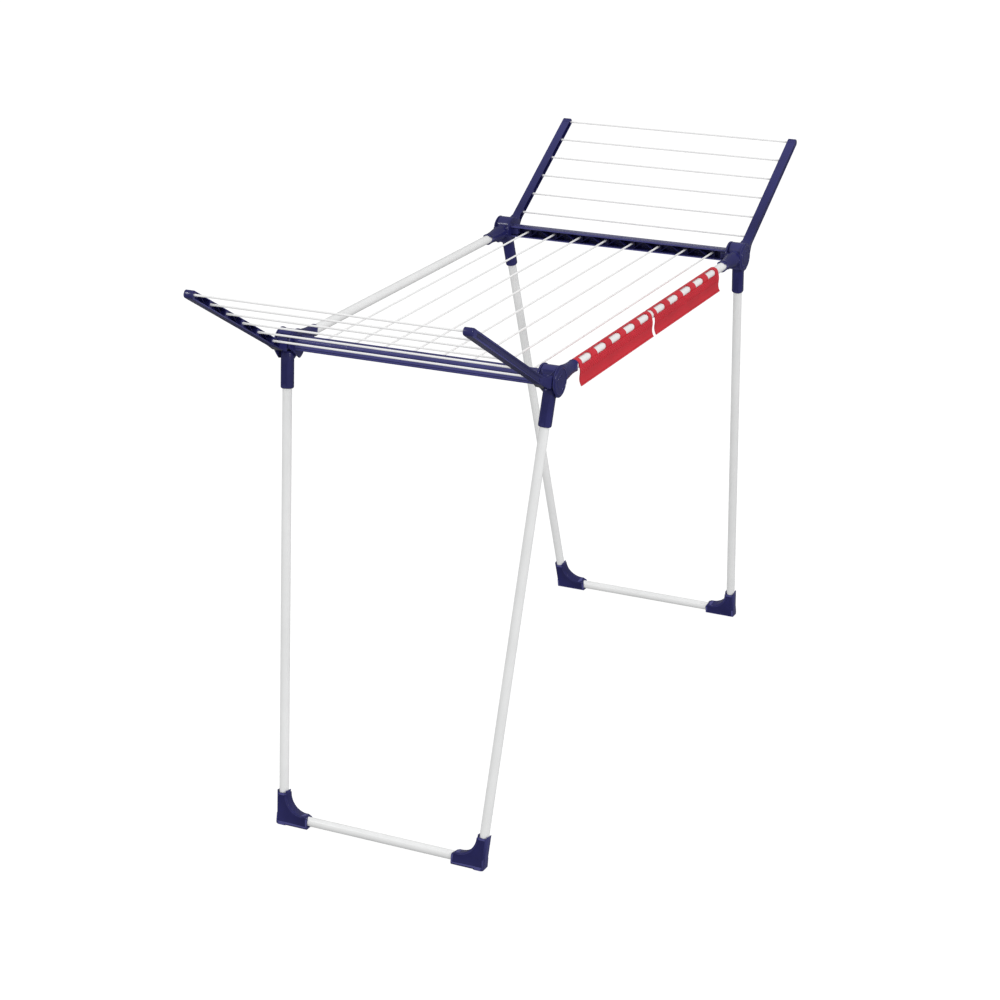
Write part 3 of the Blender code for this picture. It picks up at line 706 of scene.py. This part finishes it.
def leg_socket():
    """Rounded sleeve with a hub between the cheeks, in the leg frame, left side."""
    lean = Matrix.Translation((LEG_OFFSET, SIDE_Y, 0)) @ Matrix.Rotation(-LEG_TAPER, 4, "X")
    sleeve_width, sleeve_corner = 0.0252, 0.0100
    rings = []
    for z, shrink in ((-SLEEVE_LENGTH, 0.0028), (-SLEEVE_LENGTH + 0.0007, 0.0013),
                      (-SLEEVE_LENGTH + 0.0020, 0.0004), (-SLEEVE_LENGTH + 0.0040, 0.0), (-0.020, 0.0),
                      (-0.004, 0.0002), (0.0005, 0.0010), (0.0023, 0.0026), (0.0030, 0.0044)):
        width = sleeve_width - 2 * shrink
        outline = rounded_rectangle(width, width + 0.0012, min(sleeve_corner, 0.45 * width))
        rings.append([(x, y, z) for x, y in outline])
    socket = loft(rings, lean)
    half = CHEEK_GAP / 2 - 0.0005
    hub = turned([(0.0082, -half), (0.009, -half + 0.0008), (0.009, half - 0.0008), (0.0082, half)],
                 Matrix.Translation((0, SIDE_Y, 0)) @ Y_AXIS, 48)
    ear = [(0.0, -0.009), (LEG_OFFSET, -0.022), (LEG_OFFSET, 0.0028), (0.0, 0.009)]
    add(socket, hub, side_prism(ear, SIDE_Y - 0.0115, SIDE_Y + 0.0115))
    for x in (0.0128, -0.0128):
        groove = box((x - 0.0004, -0.0065, -SLEEVE_LENGTH + 0.010), (x + 0.0004, 0.0065, -0.026))
        groove.data.transform(lean)
        cut(socket, groove)
    cut(socket, rod(TUBE_RADIUS + CLEAR, -SLEEVE_LENGTH - OVER, -LEG_BORE_FLOOR, lean, 48))
    cut(socket, rod(PIN_RADIUS + CLEAR, SIDE_Y - 0.03, SIDE_Y + 0.03, Y_AXIS, 32))
    return socket


def foot():
    """Flush L-shaped corner about the crossing of leg and cross tube, level with the floor, left side."""
    tilt = Matrix.Rotation(-LEG_SPLAY, 4, "Y")
    lean = tilt @ Matrix.Rotation(-LEG_TAPER, 4, "X")
    face = tilt @ LAY_X
    half, height, reach, leg_top = 0.0122, CROSS[2], 0.063, 0.058
    sink = 0.004            # below the floor, until the sole is cut level
    notch = prism(rounded_rectangle(0.0196, 0.0090, 0.0022), -0.03, 0.03, LAY_X)
    notch.data.transform(lean @ Matrix.Translation((0, 0, leg_top)))
    body = cut(prism(rounded_rectangle(2 * half, 2 * half, 0.0062), -0.034, leg_top, lean), notch)
    crown = 0.0124
    tall = height + crown + sink
    section = [(x, y + tall / 2 - crown) for x, y in rounded_rectangle(2 * half, tall, 0.0072)]
    corner = [(-reach - OVER, crown + OVER), (-reach - OVER, crown - 0.0085)]
    corner += arc((-reach + 0.0080, crown - 0.0085), 0.0080, pi, pi / 2, 8)
    corner += [(-reach + 0.0080, crown + OVER)]
    cross = prism(section, -reach, half - 0.001, tilt @ Y_AXIS)
    add(body, cut(cross, prism(corner, -0.03, 0.03, face)))
    sweep = 0.038
    centre = (-half - sweep, crown + sweep)

    def leaning(outline):
        """Shear an outline so that its upright edges follow the leg."""
        return [(y + z * sin(LEG_TAPER), z) for y, z in outline]

    web = [(0.0, -height), (0.0, leg_top - 0.0048), (-half, leg_top - 0.0048)]
    web += arc(centre, sweep, 0, -pi / 2, 20)
    web += arc((-reach + 0.0095, crown - 0.0075), 0.0075, pi / 2, pi, 6) + [(-reach + 0.0020, -height)]
    add(body, soften(prism(leaning(web), -half, half, face), 0.0014, 3, 50.0))
    border = 0.0048
    panel = [(-reach + border, -height + border), (half - border, -height + border),
             (half - border, leg_top - 0.0095), (-half + border, leg_top - 0.0095)]
    panel += arc(centre, sweep + border, 0, -pi / 2, 14) + [(-reach + border, crown - border)]
    inset = 0.0008
    panels = [prism(leaning(panel), side * half - inset, side * half + inset, face) for side in (1, -1)]
    cut(body, *[soften(inlay, 0.0003, 2, 50.0) for inlay in panels])
    beyond = 0.1
    cut(body, box((-beyond, -beyond, -height - beyond), (beyond, beyond, -height)))
    cut(body, rod(TUBE_RADIUS + CLEAR, FOOT_BORE_FLOOR, leg_top + OVER, lean, 48))
    cut(body, rod(TUBE_RADIUS + CLEAR, -reach - OVER, CLEAR, Y_AXIS, 48))
    return body


def build_legs():
    """Leg sockets and feet; the tubes between them come with the other tubes."""
    place_pairs(leg_socket(), "leg_socket", legs_matrix, "navy_plastic", lambda end: end + "_legs")
    foot_mesh = foot()
    foot_mesh.data.transform(Matrix.Translation((CROSS[0], FOOT_Y, CROSS[2])))
    place_pairs(foot_mesh, "foot", end_matrix, "navy_plastic", lambda end: end + "_legs")


# ---------------------------------------------------------------- tubes and lines

def steel_tube(length):
    """Thin-walled tube along local Z with softly turned ends."""
    half = length / 2
    wall, turn = 0.001, 0.0004
    tube = turned([(TUBE_RADIUS - turn, -half), (TUBE_RADIUS, -half + turn), (TUBE_RADIUS, half - turn),
                   (TUBE_RADIUS - turn, half)], segments=56)
    return cut(tube, rod(TUBE_RADIUS - wall, -length, length, segments=40))


def build_tubes():
    """Side tubes, cross tubes and leg tubes."""
    side = steel_tube(2 * SIDE_TUBE_END)
    for sign, label in ((1, "left"), (-1, "right")):
        place(side, label + "_side_tube_detail", Matrix.Translation((0, sign * SIDE_Y, HUB_Z)) @ X_AXIS,
              "tube_white", "root", label + "_side_tube")
    drop(side)
    cross = steel_tube(2 * CROSS_END)
    for end in END_TURNS:
        place(cross, end + "_cross_tube_detail", end_matrix(end) @ Matrix.Translation(CROSS) @ Y_AXIS,
              "tube_white", end + "_legs", end + "_cross_tube")
    drop(cross)
    top = LEG_BORE_FLOOR + CLEAR
    bottom = hypot(FOOT_Z, SIDE_Y - FOOT_Y) - FOOT_BORE_FLOOR - CLEAR
    leg = steel_tube(bottom - top)
    middle = (top + bottom) / 2
    at = Matrix.Translation((LEG_OFFSET, SIDE_Y - middle * sin(LEG_TAPER), -middle * cos(LEG_TAPER)))
    leg.data.transform(at @ Matrix.Rotation(-LEG_TAPER, 4, "X"))
    place_pairs(leg, "leg_tube", legs_matrix, "tube_white", lambda end: end + "_legs")


def cord_line(half_length):
    """Coated cord along local Z with a slight swell where it enters each boss."""
    swell = 0.00025
    radius = LINE_RADIUS - 0.0001
    stations = [(-half_length, 0.0), (-half_length + 0.010, 0.0), (-half_length + 0.012, swell),
                (-half_length + 0.020, swell), (-half_length + 0.026, 0.0)]
    profile = [(radius + extra, z) for z, extra in stations]
    profile += [(radius, half_length * k / 10) for k in range(-9, 10)]
    profile += [(radius + extra, -z) for z, extra in stations[::-1]]
    return turned(profile, segments=20)


def build_lines():
    """Lines between the end bars and lines across both wings."""
    line = cord_line(CENTRE_LINE_END)
    for i, y in enumerate(CENTRE_LINE_PLACES):
        node = "centre_line_" + str(i + 1)
        at = Matrix.Translation((0, y, LINE_Z)) @ X_AXIS
        place(line, node + "_detail", at, "line_white", "root", node)
    drop(line)
    line = cord_line(WING_LINE_END)
    for end in END_TURNS:
        for i in range(WING_LINES):
            node = end + "_wing_line_" + str(i + 1)
            at = Matrix.Translation((WING_LINE_FIRST + i * WING_LINE_PITCH, 0, -ARM_DROP))
            place(line, node + "_detail", wing_matrix(end) @ at @ Y_AXIS, "line_white", end + "_wing", node)
    drop(line)


# ---------------------------------------------------------------- clip-on holders

HOLDER_WALL = 0.0022
HOLDER_DROP = 0.042
HOLDER_FLARE = 0.0045
HOLDER_WRAP = radians(215.0)
HOLDER_IN = TUBE_RADIUS + 0.0005
HOLDER_OUT = HOLDER_IN + HOLDER_WALL


def skirt(t):
    """Skirt's middle surface: (outwards, up) at share t of its drop."""
    return (HOLDER_FLARE * (0.35 * sin(2 * pi * t) + t * t), -HOLDER_DROP * t)


def holder_outline():
    """Section of the clip and its skirt: (outwards, up) about the tube's axis."""
    down = [skirt(i / 20) for i in range(1, 21)]
    outline = [(HOLDER_OUT + dx, z) for dx, z in down[::-1]]
    outline += arc((0, 0), HOLDER_OUT, 0, HOLDER_WRAP, 30)
    outline += arc((0, 0), HOLDER_IN, HOLDER_WRAP, 0, 30)
    return outline + [(HOLDER_IN + dx, z) for dx, z in down]


def bead(centre, radius, length):
    """Round bar along X at an (outwards, up) place of the section."""
    outline = [(-centre[0] + x, centre[1] + y) for x, y in circle(radius, 16)]
    return prism(outline, -length / 2, length / 2, LAY_X)


def holder():
    """Holder along local X about its tube; the skirt hangs on the -Y side."""
    body = prism([(-y, z) for y, z in holder_outline()], -HOLDER_LENGTH / 2, HOLDER_LENGTH / 2, LAY_X)
    edge_x, edge_z = skirt(1.0)
    add(body, bead((HOLDER_IN + HOLDER_WALL / 2 + edge_x, edge_z + 0.0008), 0.0016, HOLDER_LENGTH - 0.0008))
    windows, rib, nose, tall = 5, 0.026, 0.0095, 0.0085
    pitch = HOLDER_LENGTH / windows
    facing = Matrix.Rotation(radians(-42.0), 4, "X")
    for i in range(windows):
        start = -HOLDER_LENGTH / 2 + pitch * i + rib / 2
        end = start + pitch - rib
        round_end = [(end - nose + nose * cos(a), tall * sin(a))
                     for a in (pi * k / 16 - pi / 2 for k in range(17))]
        window = side_prism([(start, -tall)] + round_end + [(start, tall)], -HOLDER_OUT - 0.004, -0.004)
        window.data.transform(facing)
        cut(body, window)
    rows = (0.08, 0.18, 0.28, 0.38)
    columns, margin = 40, 0.006
    step = (HOLDER_LENGTH - 2 * margin) / columns
    spots = []
    for row, t in enumerate(rows):
        dx, z = skirt(t)
        stagger = 0.5 * (row % 2)
        places = [(-HOLDER_LENGTH / 2 + margin + step * (k + stagger), z) for k in range(columns)]
        tilt = Matrix.Translation((0, -(HOLDER_OUT + dx), 0)) @ Matrix.Rotation(pi / 2, 4, "X")
        spots.append(bumps(places, 0.00230, 0.0015, tilt))
    return merge(body, *spots)


def build_holders():
    """Both holders, on the same side tube."""
    source = holder()
    for end, at in HOLDER_AXES.items():
        node = end + "_holder"
        place(source, node + "_detail", Matrix.Translation(at), "red_plastic", end + "_clip", node)
    drop(source)


# ---------------------------------------------------------------- studio and camera

WORLD_BELOW = 0.54          # strength of the soft light from the floor's side
WORLD_ABOVE = 0.91
WORLD_GLOSS = 0.22          # share of it that glossy surfaces mirror
FLOOR_DROP = 0.0004         # keeps the floor off the feet


def studio_floor():
    """Plain floor that glows a pale, even white and lights nothing else."""
    material = bpy.data.materials.new("studio_floor")
    material.use_nodes = True
    shader = material.node_tree.nodes["Principled BSDF"]
    shader.inputs["Base Color"].default_value = (0.10, 0.10, 0.10, 1.0)
    shader.inputs["Roughness"].default_value = 1.0
    shader.inputs["Specular IOR Level"].default_value = 0.0
    shader.inputs["Emission Color"].default_value = (1.0, 1.0, 1.0, 1.0)
    shader.inputs["Emission Strength"].default_value = 0.97
    bpy.ops.mesh.primitive_plane_add(size=60.0, location=(0, 0, -FLOOR_DROP))
    floor = bpy.context.active_object
    floor.name = "studio_floor"
    floor.data.materials.append(material)
    floor.visible_diffuse = False
    floor.visible_glossy = False


def area_light(name, position, target, size, energy):
    """Square lamp that faces a point."""
    data = bpy.data.lights.new(name, "AREA")
    data.size = size
    data.energy = energy
    light = bpy.data.objects.new(name, data)
    bpy.context.scene.collection.objects.link(light)
    light.location = position
    light.rotation_euler = (Vector(target) - Vector(position)).to_track_quat("-Z", "Y").to_euler()


def studio_light():
    """White surroundings, brighter above than below, and two soft lamps."""
    world = bpy.data.worlds.new("studio_world")
    world.use_nodes = True
    nodes, links = world.node_tree.nodes, world.node_tree.links
    direction = nodes.new("ShaderNodeTexCoord").outputs["Generated"]
    height = nodes.new("ShaderNodeSeparateXYZ")
    links.new(direction, height.inputs["Vector"])
    glow = nodes.new("ShaderNodeMapRange")
    glow.inputs["From Min"].default_value = -0.5
    glow.inputs["From Max"].default_value = 0.5
    glow.inputs["To Min"].default_value = WORLD_BELOW
    glow.inputs["To Max"].default_value = WORLD_ABOVE
    links.new(height.outputs["Z"], glow.inputs["Value"])
    ray = nodes.new("ShaderNodeLightPath")
    share = value_range(nodes, links, ray.outputs["Is Glossy Ray"], 1.0, WORLD_GLOSS)
    strength = nodes.new("ShaderNodeMath")
    strength.operation = "MULTIPLY"
    links.new(glow.outputs["Result"], strength.inputs[0])
    links.new(share, strength.inputs[1])
    background = nodes["Background"]
    background.inputs["Color"].default_value = (1.0, 1.0, 1.0, 1.0)
    links.new(strength.outputs["Value"], background.inputs["Strength"])
    bpy.context.scene.world = world
    area_light("key_light", (-3.2, 2.6, 3.6), (0, 0, 0.8), 0.6, 22.0)
    area_light("fill_light", (-1.5, -4.2, 2.8), (0, 0, 0.7), 0.9, 52.0)
    bpy.context.scene.view_settings.view_transform = "Standard"


def camera():
    """Long lens from beyond the near end, looking down along the rack."""
    place_at = (-4.6730, -2.2009, 2.4712)
    yaw, pitch, roll = radians(25.8968), radians(20.6402), radians(-0.3429)
    data = bpy.data.cameras.new("camera")
    data.lens = 87.27
    data.sensor_width = 36.0
    data.clip_start = 0.1
    data.clip_end = 100.0
    eye = bpy.data.objects.new("camera", data)
    bpy.context.scene.collection.objects.link(eye)
    forward = Vector((cos(yaw) * cos(pitch), sin(yaw) * cos(pitch), -sin(pitch)))
    level = Vector((sin(yaw), -cos(yaw), 0.0))
    above = level.cross(forward)
    right = level * cos(roll) + above * sin(roll)
    up = above * cos(roll) - level * sin(roll)
    turn = Matrix((right, up, -forward)).transposed().to_4x4()
    eye.matrix_world = Matrix.Translation(place_at) @ turn
    bpy.context.scene.camera = eye


camera()
studio_floor()
studio_light()
build_corners()
build_end_bars()
build_arms()
build_legs()
build_tubes()
build_lines()
build_holders()
bpy.context.view_layer.update()
